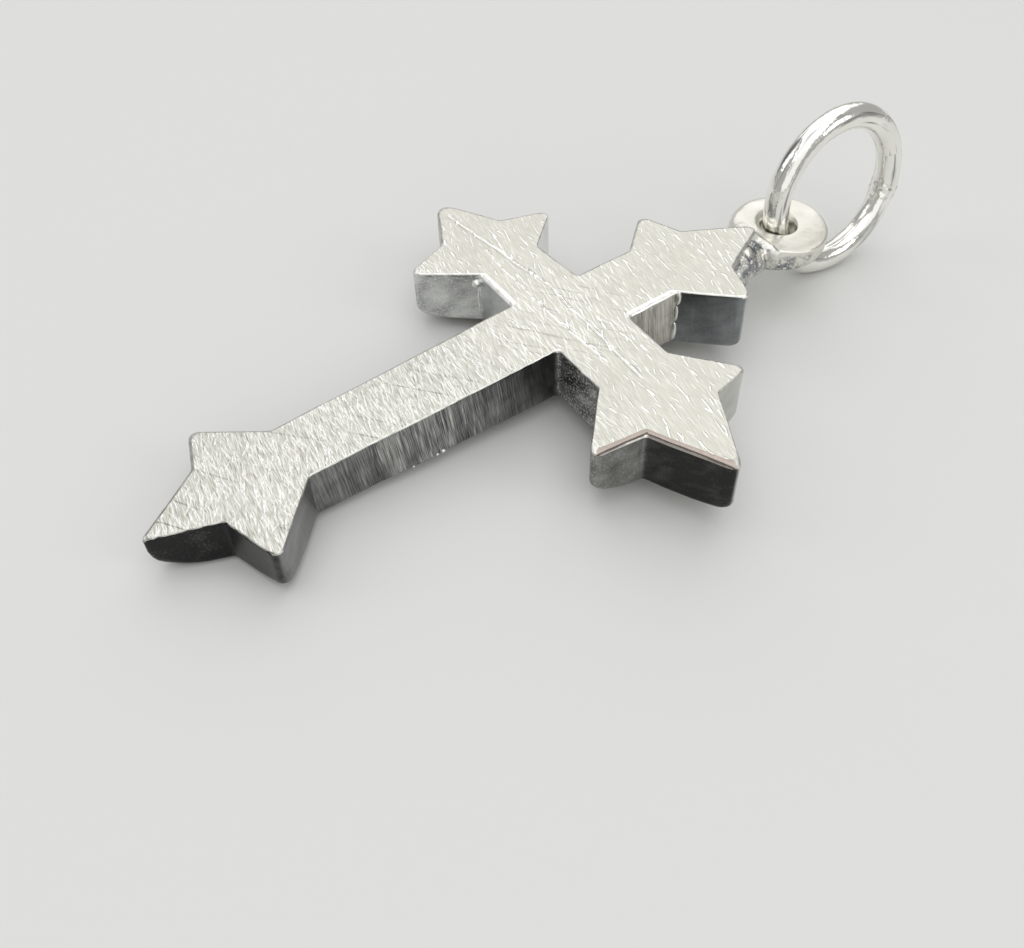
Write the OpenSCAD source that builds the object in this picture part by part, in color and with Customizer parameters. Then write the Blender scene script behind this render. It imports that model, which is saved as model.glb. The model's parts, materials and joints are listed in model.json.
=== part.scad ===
// Cross pendant: a flat silver cross whose four arms end in three-pointed stars, a small eyelet
// soldered to the top star, and a round jump ring through the eyelet.
// Millimetres. The cross lies face up (+Z) with its foot towards -Y. Its foot and the jump ring
// touch the surface at z = 0, and the ring props the top end up. The origin is on that surface,
// under the middle of the pendant's box.

/* [Cross] */
// Crossing to the laid-out middle point of the top arm and the side arms
arm_reach = 9; // [8:0.25:14]
// Crossing to the laid-out middle point of the foot
foot_reach = 16.4; // [14:0.2:26]
// Width of the arms
arm_w = 2.9; // [2:0.1:3.6]
// Length of a star, from its neck to its middle point
star_len = 5.3; // [4:0.1:6]
// Width of a star across its two side points
star_w = 6.8; // [5.6:0.1:9]
// Thickness of the plate at the end of the top arm
head_t = 2.6; // [1.6:0.05:4]
// Thickness of the plate at the end of the foot
foot_t = 1.75; // [1.4:0.05:4]

/* [Edges] */
// Radius of a star's points, seen from above
point_r = 0.3; // [0.15:0.05:0.5]
// Radius in the notches, necks and inner corners
notch_r = 0.2; // [0.1:0.05:0.5]
// Bevel along the edges of the front
front_bevel = 0.12; // [0.05:0.01:0.25]
// Rounding along the edges of the back
back_round = 0.2; // [0.1:0.05:0.45]
// How far the wear under a star's point reaches in along its edges
wear_len = 1.8; // [1:0.1:2.4]

/* [Eyelet] */
// Thickness of the eyelet's wire
eye_wire = 1.3; // [0.8:0.05:1.8]
// Play of the jump ring's wire in the eyelet's hole, all round
eye_play = 0.15; // [0.12:0.01:0.4]
// How far the eyelet overlaps the laid-out point that it is soldered to
eye_sink = 0.6; // [0.4:0.05:0.8]
// Thickness of the solder joint
solder_t = 1.5; // [0.8:0.05:2]
// Width of the solder joint
solder_w = 2.1; // [1.6:0.05:2.6]
// Length of the solder joint along the star's point
solder_len = 1.7; // [1:0.1:2.4]

/* [Jump ring] */
// Outside diameter of the jump ring
ring_od = 7; // [5.5:0.1:12]
// Thickness of the jump ring's wire
ring_wire = 1; // [0.7:0.05:1.3]
// Gap between the two wires where the jump ring leans on the eyelet
link_gap = 0.05; // [0.03:0.01:0.1]
// Sideways lean of the jump ring, in degrees
ring_side_lean = 7; // [0:1:12]
// Turn of the jump ring out of the cross's long axis, in degrees
ring_turn = 3; // [0:1:10]

/* [Hidden] */

// Directions of the arms and their middle points, as they were filed by hand.
// direction, reach, filed: share of that reach, shift: to the left, in half star widths,
// sharp: share of the points' radius, worn: share of the thickness that is worn away below
ARMS = [
    [0, arm_reach, 1.03, -0.045, 1, 0.08],
    [90, arm_reach, 0.98, -0.1, 1, 0.1],
    [180, arm_reach, 0.975, 0.03, 1.5, 0.2],
    [270, foot_reach, 1, 0.1, 0.5, 0.65],
];

// The two halves of each star, in order round the cross, as they were filed by hand.
// arm, side: -1 for the half that comes first, 1 for the other,
// neck_back, tip_back, notch_back: distance back from the laid-out point, in star lengths,
// neck_out: in half arm widths, tip_out, notch_out: in half star widths,
// worn: share of the thickness that is worn away below the side point
HALVES = [
    [0, -1, 1.02, 0.99, 0.58, 1.07, 0.53, 0.45, 0.3],
    [0, 1, 1.01, 1.05, 0.59, 0.94, 0.53, 0.45, 0.2],
    [1, -1, 0.98, 0.99, 0.63, 1, 0.51, 0.49, 0.1],
    [1, 1, 0.95, 1.05, 0.63, 0.88, 0.515, 0.36, 0.1],
    [2, -1, 0.96, 1.01, 0.67, 0.94, 0.535, 0.37, 0.2],
    [2, 1, 0.97, 0.87, 0.65, 1, 0.51, 0.41, 0.3],
    [3, -1, 1, 1, 0.58, 0.91, 0.47, 0.42, 0.2],
    [3, 1, 1.02, 0.8, 0.6, 1.05, 0.46, 0.35, 0.25],
];

// The inner corner that follows each arm, in half arm widths: x, y
CROSSING = [[0.98, 1.13], [-1.07, 1.08], [-1.15, -0.91], [0.88, -0.95]];

// Places in the list of corners. Half a star has a neck, a side point and a notch. An arm has
// two halves with the middle point between them, and the inner corner after it.
HALF_CORNERS = 3;
MIDDLE_POINT = HALF_CORNERS;
SIDE_POINT = HALF_CORNERS - 2;
LAST_NECK = 2 * HALF_CORNERS;
ARM_CORNERS = 2 * HALF_CORNERS + 2;
FOOT = 3;

// Steps along each rounded corner, and points between two corners
ARC_STEPS = 4;
EDGE_STEPS = 3;
CORNER_POINTS = ARC_STEPS + 1 + EDGE_STEPS;
// Steps of the rounding at the back
BACK_STEPS = 4;
// Least radius that an inset leaves to a point, as a share of its own
POINT_LEFT = 0.4;
// Fineness of the round wires and of the solder
WIRE_SIDES = 48;
HOOP_SIDES = 96;
SOLDER_SIDES = 24;

function unit(v) = v / norm(v);
function left_of(v) = [-v.y, v.x];
function turned(v, a) = [v.x * cos(a) - v.y * sin(a), v.x * sin(a) + v.y * cos(a)];
function turned_round(list) = [for (i = [len(list) - 1:-1:0]) list[i]];

// Thickness of the plate, which falls evenly from the head to the foot
function plate_t(y) = foot_t + (head_t - foot_t) * (y + foot_reach) / (arm_reach + foot_reach);

// A place in an arm: along it, and out to its left
function in_arm(arm, along, out) = turned([along, out], ARMS[arm][0]);

// Corners of one half star from its neck to its notch: place, radius, wear
function half_star(row) =
    let (
        arm = row[0], side = row[1], neck_back = row[2], neck_out = row[3], tip_back = row[4],
        tip_out = row[5], notch_back = row[6], notch_out = row[7], worn = row[8]
    )
    let (reach = ARMS[arm][1], half_arm = side * arm_w / 2, half_width = side * star_w / 2)
    [
        [in_arm(arm, reach - neck_back * star_len, neck_out * half_arm), notch_r, 0],
        [in_arm(arm, reach - tip_back * star_len, tip_out * half_width), point_r, worn],
        [in_arm(arm, reach - notch_back * star_len, notch_out * half_width), notch_r, 0],
    ];

function middle_point(arm) =
    let (row = ARMS[arm])
    let (reach = row[1], filed = row[2], shift = row[3], sharp = row[4], worn = row[5])
    [in_arm(arm, reach * filed, shift * star_w / 2), point_r * sharp, worn];

// All corners of the cross, anticlockwise
CORNERS = [
    for (arm = [0:len(ARMS) - 1])
        each concat(
            half_star(HALVES[2 * arm]),
            [middle_point(arm)],
            turned_round(half_star(HALVES[2 * arm + 1])),
            [[CROSSING[arm] * arm_w / 2, notch_r, 0]]
        )
];
COUNT = len(CORNERS);

function corner(i) = CORNERS[(i + COUNT) % COUNT][0];
function edge_dir(i) = unit(corner(i + 1) - corner(i));
function is_point(i) = edge_dir(i - 1) * left_of(edge_dir(i)) < 0;

// A corner when both its edges move in, and its point is worn back by a further pull
function moved_corner(i, inset, pull) =
    let (a = left_of(edge_dir(i - 1)), b = left_of(edge_dir(i)), worn = CORNERS[i % COUNT][2])
    corner(i) + (a + b) * inset / (1 + a * b) + unit(a + b) * pull * worn * wear_len;

function corner_radius(i, inset) =
    let (r = CORNERS[i][1])
    is_point(i) ? max(r - inset, r * POINT_LEFT) : r + inset;

// Points of the arc that rounds a corner p between its neighbours a and b
function arc(a, p, b, r) =
    let (u = unit(a - p), v = unit(b - p), half = acos(u * v) / 2)
    let (centre = p + unit(u + v) * r / sin(half), start = p + u * r / tan(half))
    let (sweep = sign(u * left_of(v)) * (180 - 2 * half))
    [for (k = [0:ARC_STEPS]) centre + turned(start - centre, sweep * k / ARC_STEPS)];

// How much of a point's wear is left at a distance along its edge
function fade(distance) = pow(max(0, 1 - distance / wear_len), 2);

// One level of the outline, as a list of x, y and the share of the thickness that is worn
function level(inset, pull) =
    let (moved = [for (i = [0:COUNT - 1]) moved_corner(i, inset, pull)])
    let (arcs = [
        for (i = [0:COUNT - 1])
            arc(
                moved[(i + COUNT - 1) % COUNT], moved[i], moved[(i + 1) % COUNT],
                corner_radius(i, inset)
            )
    ])
    [
        for (i = [0:COUNT - 1])
            let (next = (i + 1) % COUNT, from = arcs[i][ARC_STEPS], to = arcs[next][0])
            let (span = norm(corner(i + 1) - corner(i)))
            each concat(
                [for (p = arcs[i]) [p.x, p.y, CORNERS[i][2]]],
                [
                    for (k = [1:EDGE_STEPS])
                        let (share = k / (EDGE_STEPS + 1), p = from + (to - from) * share)
                        [p.x, p.y, CORNERS[i][2] * fade(share * span)
                            + CORNERS[next][2] * fade((1 - share) * span)]
                ]
            )
    ];

// The levels of the plate from the back to the front
function back_level(a) = [
    for (p = level(back_round * (1 - sin(a)), 1 - sin(a)))
        [p.x, p.y, (back_round + p.z * plate_t(p.y)) * (1 - cos(a))]
];
function front_level(inset, drop) = [for (p = level(inset, 0)) [p.x, p.y, plate_t(p.y) - drop]];
LEVELS = concat(
    [for (k = [0:BACK_STEPS]) back_level(90 * k / BACK_STEPS)],
    [front_level(0, front_bevel), front_level(front_bevel, 0)]
);
PER_LEVEL = len(LEVELS[0]);

// The eyelet lies in the plate's own plane, and its hole takes the jump ring's wire
eye_hole_r = ring_wire / 2 + eye_play;
eye_r = eye_hole_r + eye_wire / 2;
eye_at = [0, arm_reach - eye_sink + eye_r + eye_wire / 2, plate_t(arm_reach) / 2];

// The jump ring's wire passes through the middle of the eyelet's hole, and leans back
// until only the link gap is left between the two wires
ring_r = (ring_od - ring_wire) / 2;
reach_in = (ring_wire + eye_wire) / 2 + link_gap;
ring_lean = acos(min(1, (pow(eye_r, 2) + 2 * ring_r * reach_in - pow(reach_in, 2)) / (2 * eye_r * ring_r)));

function leaned(p, a) = [p.x, p.y * cos(a) - p.z * sin(a), p.y * sin(a) + p.z * cos(a)];
function rolled(p, a) = [p.x * cos(a) + p.z * sin(a), p.y, -p.x * sin(a) + p.z * cos(a)];
function spun(p, a) = concat(turned([p.x, p.y], a), [p.z]);
ring_at = eye_at + spun(rolled(leaned([0, ring_r, 0], ring_lean), -ring_side_lean), -ring_turn);
ring_axis = spun(rolled([1, 0, 0], -ring_side_lean), -ring_turn);

// How far the jump ring reaches from its centre along a direction
function ring_reach(n) = ring_r * sqrt(1 - pow(n * ring_axis, 2)) + ring_wire / 2;

// The pendant rests on the worn back of two of the foot's points and on the jump ring.
// The upward direction is (slant * sin(t), sin(t), cos(t)) in the plate's own frame, for a prop t.
function worn_end(i) = let (p = moved_corner(i, back_round, 1)) [p.x, p.y, 0];
tip = worn_end(FOOT * ARM_CORNERS + MIDDLE_POINT);
side_tip = worn_end(FOOT * ARM_CORNERS + SIDE_POINT);
slant = -(tip.y - side_tip.y) / (tip.x - side_tip.x);
function upward(t) = [slant * sin(t), sin(t), cos(t)];
function settled(t, turns) =
    turns == 0 ? t
    : settled(
        asin(max(0, ring_reach(unit(upward(t))) * norm(upward(t)) - ring_at.z * cos(t))
            / (slant * (ring_at.x - tip.x) + ring_at.y - tip.y)),
        turns - 1
    );
FIRST_PROP = 3;
SETTLING_TURNS = 8;
prop = settled(FIRST_PROP, SETTLING_TURNS);
roll = -atan(slant * sin(prop));

// The pendant's box once it is laid down, which sets its place over the origin
function laid(p) = rolled(leaned(p, prop), roll);
laid_points = [for (ring = LEVELS) each [for (p = ring) laid(p)]];
laid_ring = laid(ring_at);
function reach_along(e) = ring_r * sqrt(1 - pow(laid(ring_axis) * e, 2)) + ring_wire / 2;
xs = [for (p = laid_points) p.x];
ys = [for (p = laid_points) p.y];
zs = [for (p = laid_points) p.z];
middle = [
    (min(xs) + max(xs)) / 2,
    (min(ys) + laid_ring.y + reach_along([0, 1, 0])) / 2,
    min(min(zs), laid_ring.z - reach_along([0, 0, 1])),
];

module hoop(mean_r, wire) {
    rotate_extrude($fn = HOOP_SIDES)
        translate([mean_r, 0])
            circle(d = wire, $fn = WIRE_SIDES);
}

// The hubs of the plate's back or front: the crossing, then a place inside each star
STAR_HUB = 0.6;
function hubs(front) = [
    for (p = concat([[0, 0]], [for (arm = [0:3]) in_arm(arm, ARMS[arm][1] - STAR_HUB * star_len, 0)]))
        [p.x, p.y, front ? plate_t(p.y) : 0]
];

// Triangles from a hub to each step of a level, between two of its points
function fan(hub, low, from, to) =
    [for (i = [from:to - 1]) [hub, low + i % PER_LEVEL, low + (i + 1) % PER_LEVEL]];

// Triangles of the back or front: round each star's hub, and round the crossing between the stars
function cap(low, hub) = [
    for (arm = [0:len(ARMS) - 1])
        let (neck = arm * ARM_CORNERS * CORNER_POINTS)
        let (last_neck = neck + LAST_NECK * CORNER_POINTS + ARC_STEPS)
        let (next_neck = neck + ARM_CORNERS * CORNER_POINTS, star_hub = hub + 1 + arm)
        each concat(
            fan(star_hub, low, neck, last_neck),
            fan(hub, low, last_neck, next_neck),
            [[hub, low + neck, star_hub], [hub, star_hub, low + last_neck]]
        )
];
function flipped(faces) = [for (f = faces) turned_round(f)];

// The star-ended plate: levels of one outline, joined by triangles
module plate() {
    last = (len(LEVELS) - 1) * PER_LEVEL;
    back_hub = last + PER_LEVEL;
    front_hub = back_hub + len(hubs(false));
    polyhedron(
        points = concat([for (ring = LEVELS) each ring], hubs(false), hubs(true)),
        faces = concat(
            cap(0, back_hub),
            flipped(cap(last, front_hub)),
            [
                for (k = [0:len(LEVELS) - 2], i = [0:PER_LEVEL - 1])
                    let (low = k * PER_LEVEL, high = low + PER_LEVEL, j = (i + 1) % PER_LEVEL)
                    each [[low + i, high + i, high + j], [low + i, high + j, low + j]]
            ]
        )
    );
}

module eyelet() {
    translate(eye_at)
        hoop(eye_r, eye_wire);
}

// The solder runs from the middle of the star's point to the near side of the eyelet
module solder() {
    near = solder_t / 2;
    spread = 28;
    bite = eye_wire / 4;
    hull() {
        for (a = [-spread, spread])
            translate(eye_at + spun([0, -eye_r - bite, 0], a))
                sphere(d = near, $fn = SOLDER_SIDES);
        for (side = [-1, 1])
            translate([side * (solder_w - solder_t) / 2, arm_reach - solder_len, eye_at.z])
                sphere(d = solder_t, $fn = SOLDER_SIDES);
    }
}

module cross_piece() {
    plate();
    eyelet();
    solder();
}

module ring_wire_hoop() {
    translate(eye_at)
        rotate([0, -ring_side_lean, -ring_turn])
            rotate([ring_lean, 0, 0])
                translate([0, ring_r, 0])
                    rotate([0, 90, 0])
                        hoop(ring_r, ring_wire);
}

module laid_down() {
    translate(-middle)
        rotate([prop, roll, 0])
            children();
}

module cross() {
    color("gainsboro")
        laid_down()
            cross_piece();
}

module jump_ring() {
    color("silver")
        laid_down()
            ring_wire_hoop();
}

cross();
jump_ring();
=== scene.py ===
# %% [markdown]
# # A silver cross pendant with star-shaped ends
# The real object is a small cross, sawn from silver plate and filed by hand. Each arm ends in a
# star with three points. A thick little ring, the eyelet, is soldered to the top star, and a round
# jump ring of polished wire hangs in it. We dress three pieces: the plate, the eyelet with its
# solder, and the jump ring. Each one is modelled in millimetres, lying square, and is laid in its
# real place at the end.

import json
import math
from collections import namedtuple

import bmesh
import bpy
from mathutils import Matrix, Vector, noise


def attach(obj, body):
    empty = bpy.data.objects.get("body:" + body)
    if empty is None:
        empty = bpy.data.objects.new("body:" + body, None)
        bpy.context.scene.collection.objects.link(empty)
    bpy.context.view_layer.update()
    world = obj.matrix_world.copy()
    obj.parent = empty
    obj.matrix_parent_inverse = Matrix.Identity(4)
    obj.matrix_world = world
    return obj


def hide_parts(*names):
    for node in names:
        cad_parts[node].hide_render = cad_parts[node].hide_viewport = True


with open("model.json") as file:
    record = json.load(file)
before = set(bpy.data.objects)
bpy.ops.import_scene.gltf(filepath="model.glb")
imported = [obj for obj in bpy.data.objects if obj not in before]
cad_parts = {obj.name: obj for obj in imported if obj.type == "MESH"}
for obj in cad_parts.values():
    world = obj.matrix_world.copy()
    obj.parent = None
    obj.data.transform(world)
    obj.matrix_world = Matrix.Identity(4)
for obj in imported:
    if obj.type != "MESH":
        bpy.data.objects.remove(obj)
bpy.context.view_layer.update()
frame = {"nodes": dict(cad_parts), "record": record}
print("CAD nodes:", sorted(frame["nodes"]))

# %% [markdown]
# ## How the pendant lies
# The foot rests on the table and the jump ring props the other end up, so the plate is tilted a
# little. We could tilt every point by hand, but a matrix does it once for all. The record's
# `back_face` mount tells where the plate's back is and which way it looks, and that gives the two
# angles.

# %% From the flat plate to the table
MM = 0.001
MOUNTS = {mount["name"]: mount for mount in frame["record"]["mounts"]}

back_looks = Vector(MOUNTS["back_face"]["axis"])
prop = math.asin(back_looks.y)
roll = math.atan2(-back_looks.x, -back_looks.z)
LAID = (
    Matrix.Translation(MOUNTS["back_face"]["pos_m"])
    @ Matrix.Rotation(roll, 4, "Y")
    @ Matrix.Rotation(prop, 4, "X")
    @ Matrix.Scale(MM, 4)
)
print("prop and roll in degrees:", round(math.degrees(prop), 2), round(math.degrees(roll), 2))

# %% [markdown]
# ## Sizes
# These are the sizes that the solids were built from, in millimetres. The four arms and the eight
# half stars were filed by hand and differ a little, so two short tables say by how much.

# %% Sizes of the cross
ARM_REACH = 9
FOOT_REACH = 16.4
ARM_W = 2.9
STAR_LEN = 5.3
STAR_W = 6.8
HEAD_T = 2.6
FOOT_T = 1.75
POINT_R = 0.3
NOTCH_R = 0.2
FRONT_BEVEL = 0.12
BACK_ROUND = 0.2
WEAR_LEN = 1.8

# Each arm: which way it points, its reach, the share of it that its middle point has, how far that
# point is off to the left, how blunt it is and how worn
Arm = namedtuple("Arm", "turn reach filed shift blunt worn")
ARMS = [
    Arm(0, ARM_REACH, 1.03, -0.045, 1, 0.08),
    Arm(90, ARM_REACH, 0.98, -0.1, 1, 0.1),
    Arm(180, ARM_REACH, 0.975, 0.03, 1.5, 0.2),
    Arm(270, FOOT_REACH, 1, 0.1, 0.5, 0.65),
]
# Each half star: its arm and side, then how far back and how far out its neck, its side point and
# its notch lie, in shares of the star's length and of half the arm's or the star's width, and how
# worn the side point is
HalfStar = namedtuple(
    "HalfStar", "arm side neck_back neck_out tip_back tip_out notch_back notch_out worn"
)
HALF_STARS = [
    HalfStar(ARMS[0], -1, 1.02, 0.99, 0.58, 1.07, 0.53, 0.45, 0.3),
    HalfStar(ARMS[0], 1, 1.01, 1.05, 0.59, 0.94, 0.53, 0.45, 0.2),
    HalfStar(ARMS[1], -1, 0.98, 0.99, 0.63, 1, 0.51, 0.49, 0.1),
    HalfStar(ARMS[1], 1, 0.95, 1.05, 0.63, 0.88, 0.515, 0.36, 0.1),
    HalfStar(ARMS[2], -1, 0.96, 1.01, 0.67, 0.94, 0.535, 0.37, 0.2),
    HalfStar(ARMS[2], 1, 0.97, 0.87, 0.65, 1, 0.51, 0.41, 0.3),
    HalfStar(ARMS[3], -1, 1, 1, 0.58, 0.91, 0.47, 0.42, 0.2),
    HalfStar(ARMS[3], 1, 1.02, 0.8, 0.6, 1.05, 0.46, 0.35, 0.25),
]
# The corners between the arms, in shares of half an arm's width
INNER_CORNERS = [(0.98, 1.13), (-1.07, 1.08), (-1.15, -0.91), (0.88, -0.95)]


def plate_t(y):
    """Thickness of the plate, which falls evenly from the head to the foot."""
    return FOOT_T + (HEAD_T - FOOT_T) * (y + FOOT_REACH) / (ARM_REACH + FOOT_REACH)


print("thickness at the crossing:", round(plate_t(0), 2), "mm")

# %% [markdown]
# ## The outline
# The outline has 32 sharp corners: neck, side point, notch and middle point of each star, and the
# inner corner after each arm. Their rounding comes later from a bevel, which keeps this list short
# and easy to change. They run anticlockwise, eight to an arm: right, top, left and foot. An edge
# has the number of the corner that it leaves. In each eight, 0 and 5 are the star's flanks, 1 to 4
# its end walls, and 6 and 7 the sides of this arm and of the next.

# %% The corners of the outline
Corner = namedtuple("Corner", "place radius worn")


def in_arm(arm, along, out):
    """A place in an arm: along it, and out to its left."""
    return Matrix.Rotation(math.radians(arm.turn), 2) @ Vector((along, out))


def half_star_corners(half):
    """Neck, side point and notch of one half of a star."""
    reach = half.arm.reach
    half_arm = half.side * ARM_W / 2
    half_width = half.side * STAR_W / 2
    neck = in_arm(half.arm, reach - half.neck_back * STAR_LEN, half.neck_out * half_arm)
    tip = in_arm(half.arm, reach - half.tip_back * STAR_LEN, half.tip_out * half_width)
    notch = in_arm(half.arm, reach - half.notch_back * STAR_LEN, half.notch_out * half_width)
    return [Corner(neck, NOTCH_R, 0), Corner(tip, POINT_R, half.worn), Corner(notch, NOTCH_R, 0)]


CORNERS = []
for i, arm in enumerate(ARMS):
    middle = in_arm(arm, arm.reach * arm.filed, arm.shift * STAR_W / 2)
    CORNERS += half_star_corners(HALF_STARS[2 * i])
    CORNERS += [Corner(middle, POINT_R * arm.blunt, arm.worn)]
    CORNERS += reversed(half_star_corners(HALF_STARS[2 * i + 1]))
    CORNERS += [Corner(Vector(INNER_CORNERS[i]) * ARM_W / 2, NOTCH_R, 0)]
COUNT = len(CORNERS)
print(COUNT, "corners")

# %% [markdown]
# A few questions about the outline come up again and again, so we answer them once, here.

# %% Questions about the outline


def corner(i):
    """Place of corner i. After the last corner comes the first again."""
    return CORNERS[i % COUNT].place


def edge_way(i):
    """Direction of the edge that leaves corner i."""
    return (corner(i + 1) - corner(i)).normalized()


def inward(i):
    """Direction into the metal, square to the edge that leaves corner i."""
    return edge_way(i).orthogonal()


def bisector(i):
    """Direction into the metal, halfway between the two edges of corner i."""
    return (inward(i - 1) + inward(i)).normalized()


def edges_near(place):
    """All edges, the nearest to a place first: distance to it, its number, distance along it."""
    found = []
    for i in range(COUNT):
        length = (corner(i + 1) - corner(i)).length
        along = (place - corner(i)).dot(edge_way(i))
        foot = corner(i) + edge_way(i) * min(max(along, 0), length)
        found.append(((place - foot).length, i, along))
    return sorted(found)


def nearest_edge(place):
    """Number of the edge that lies nearest to a place, and the distance along it."""
    return edges_near(place)[0][1:]


EDGE_START = [0]
for i in range(COUNT):
    EDGE_START.append(EDGE_START[-1] + (corner(i + 1) - corner(i)).length)
print("length of the outline:", round(EDGE_START[-1], 1), "mm")

# %% [markdown]
# ## The blank
# A jeweller saws the blank from thick plate. We do the same: one face with 32 corners, pulled up
# with `extrude_face_region`. The plate is thicker at the head than at the foot, so each upper
# corner gets its own height.

# %% Sawing the blank


def sawn_blank():
    """The outline, pulled up to the thickness of the plate."""
    bm = bmesh.new()
    back = bm.faces.new([bm.verts.new((*c.place, 0)) for c in CORNERS])
    raised = bmesh.ops.extrude_face_region(bm, geom=[back])["geom"]
    for vert in raised:
        if isinstance(vert, bmesh.types.BMVert):
            vert.co.z = plate_t(vert.co.y)
    bmesh.ops.recalc_face_normals(bm, faces=bm.faces)
    return bm


plate = sawn_blank()
print("blank:", len(plate.faces), "faces,", round(plate.calc_volume(), 1), "mm3")

# %% [markdown]
# ## Rounding the back edge
# No filed edge is sharp. The back edge is rounded evenly all round, which `bmesh.ops.bevel` does in
# one call.

# %% Back edge
BACK_STEPS = 4
TINY = 1e-4
# The profile of a round bevel
ROUND = 0.5


def bevelled(bm, edges, offset, offset_type, steps):
    """Rounds some edges of a mesh."""
    bmesh.ops.bevel(
        bm,
        geom=edges,
        offset=offset,
        offset_type=offset_type,
        affect="EDGES",
        segments=steps,
        profile=ROUND,
        material=-1,
        clamp_overlap=False,
    )


back_edges = [edge for edge in plate.edges if all(abs(v.co.z) < TINY for v in edge.verts)]
print("edges of the back:", len(back_edges))
bevelled(plate, back_edges, BACK_ROUND, "OFFSET", BACK_STEPS)

# %% [markdown]
# ## Breaking the front edge
# The front has a finer bevel, finest along the shaft and the foot, but the two end walls of the
# right star were filed with a much wider one. The bevel operator knows only one width, so here we
# borrow the Bevel modifier, which reads a weight from each edge.

# %% Front edge
WIDE_BEVEL = 0.23
WIDE_EDGES = (1, 2)
BEVEL_WIDTHS = {7: 0.2, 22: 0.22, 31: 0.08}
BEVEL_WIDTHS |= dict.fromkeys(WIDE_EDGES, WIDE_BEVEL)
BEVEL_WIDTHS |= dict.fromkeys((27, 28, 29), 0.04)
BEVEL_WIDTHS |= dict.fromkeys((0, 8, 21, 30), 0.05)
BEVEL_WIDTHS |= dict.fromkeys((3, 4, 9, 16), 0.06)
FRONT_STEPS = 3


def new_object(name, data):
    """A new object in the scene, at the origin."""
    made = bpy.data.objects.new(name, data)
    bpy.context.scene.collection.objects.link(made)
    return made


def object_from(bm, name):
    """Turns a bmesh into an object."""
    mesh = bpy.data.meshes.new(name)
    bm.to_mesh(mesh)
    bm.free()
    return new_object(name, mesh)


def after_modifier(bm, kind, **settings):
    """The mesh as one modifier leaves it."""
    blank = object_from(bm, "blank")
    modifier = blank.modifiers.new(kind, kind)
    for name, value in settings.items():
        setattr(modifier, name, value)
    shaped = blank.evaluated_get(bpy.context.evaluated_depsgraph_get())
    result = bmesh.new()
    result.from_mesh(shaped.to_mesh())
    mesh = blank.data
    bpy.data.objects.remove(blank)
    bpy.data.meshes.remove(mesh)
    return result


weight = plate.edges.layers.float.new("bevel_weight_edge")
for edge in plate.edges:
    if all(abs(v.co.z - plate_t(v.co.y)) < TINY for v in edge.verts):
        middle = (edge.verts[0].co + edge.verts[1].co) / 2
        width = BEVEL_WIDTHS.get(nearest_edge(middle.xy)[0], FRONT_BEVEL)
        edge[weight] = width / WIDE_BEVEL
plate = after_modifier(
    plate,
    "BEVEL",
    limit_method="WEIGHT",
    width=WIDE_BEVEL,
    segments=FRONT_STEPS,
    profile=ROUND,
    use_clamp_overlap=False,
)
print("with its edges broken:", len(plate.faces), "faces")

# %% [markdown]
# ## Rounding the corners
# Each upright corner now runs up the wall and on over both bevels, as a chain of edges on one
# line. Bevelling the whole chain rounds the corner from the back to the front in one go. The
# offset type `ABSOLUTE` slides along the neighbouring edges by the same length at every height,
# which a round corner of that radius needs.

# %% Upright corners
CORNER_STEPS = 6
CHAIN_REACH = 1


def nearest_corner(place):
    """Number of the corner that lies nearest to a place."""
    return min(range(COUNT), key=lambda i: (corner(i) - place).length)


def corner_chain(bm, i):
    """The edges that run from the back to the front at corner i, while all points are at corners."""
    chain = {vert for vert in bm.verts if (vert.co.xy - corner(i)).length < CHAIN_REACH}
    chain = {vert for vert in chain if nearest_corner(vert.co.xy) == i}
    return [edge for edge in bm.edges if chain.issuperset(edge.verts)]


for i in range(COUNT):
    half_angle = edge_way(i).angle(-edge_way(i - 1)) / 2
    slide = CORNERS[i].radius / math.tan(half_angle)
    bevelled(plate, corner_chain(plate, i), slide, "ABSOLUTE", CORNER_STEPS)
print("rounded:", len(plate.faces), "faces,", round(plate.calc_volume(), 1), "mm3")

# %% [markdown]
# ## Marking the faces
# The front, its bevels, the walls and the back were each worked with another tool and get another
# finish. We note on each face which one it is while the shape is still simple and its normal
# tells. Cuts made later pass the note on.

# %% Front, bevels, walls and back
FRONT, BEVEL, WALL, BACK = range(4)
# How far up a normal points on a level face at least, and on an upright one at most
LEVEL = 0.997
UPRIGHT = 0.17

plate.normal_update()
for face in plate.faces:
    up = face.normal.z
    if up > LEVEL:
        face.material_index = FRONT
    elif up > UPRIGHT:
        face.material_index = BEVEL
    elif up < -LEVEL:
        face.material_index = BACK
    else:
        face.material_index = WALL
kinds = [face.material_index for face in plate.faces]
print("fronts, bevels, walls, backs:", [kinds.count(k) for k in (FRONT, BEVEL, WALL, BACK)])

# %% [markdown]
# ## A finer net
# Wear and hand filing bend the surface softly, and a face with 200 corners can't bend. So the
# plate is cut by planes along all three axes, with `bisect_plane`. Subdividing would also work,
# but planes give even little squares and leave the rounded corners as they are.

# %% Cutting the plate into small faces
PITCH = 0.15


def cut_across(bm, axis, pitch):
    """Cuts the mesh with planes square to an axis."""
    places = [vert.co.dot(axis) for vert in bm.verts]
    cuts = math.floor((max(places) - min(places)) / pitch)
    for k in range(1, cuts + 1):
        bmesh.ops.bisect_plane(
            bm,
            geom=[*bm.verts, *bm.edges, *bm.faces],
            dist=TINY,
            plane_co=axis * (min(places) + k * pitch),
            plane_no=axis,
        )


for axis in (Vector((1, 0, 0)), Vector((0, 1, 0)), Vector((0, 0, 1))):
    cut_across(plate, axis, PITCH)
print("cut:", len(plate.faces), "faces")

# %% [markdown]
# ## Wear under the points
# The pendant has rested on its back for years, and the undersides of the points are rubbed round,
# the foot most of all. At each point the low band of the wall is stretched upwards and pulled
# inwards, less and less with the distance from the point. Two points of the right star are rubbed
# a little further here than on the solids.

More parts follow.
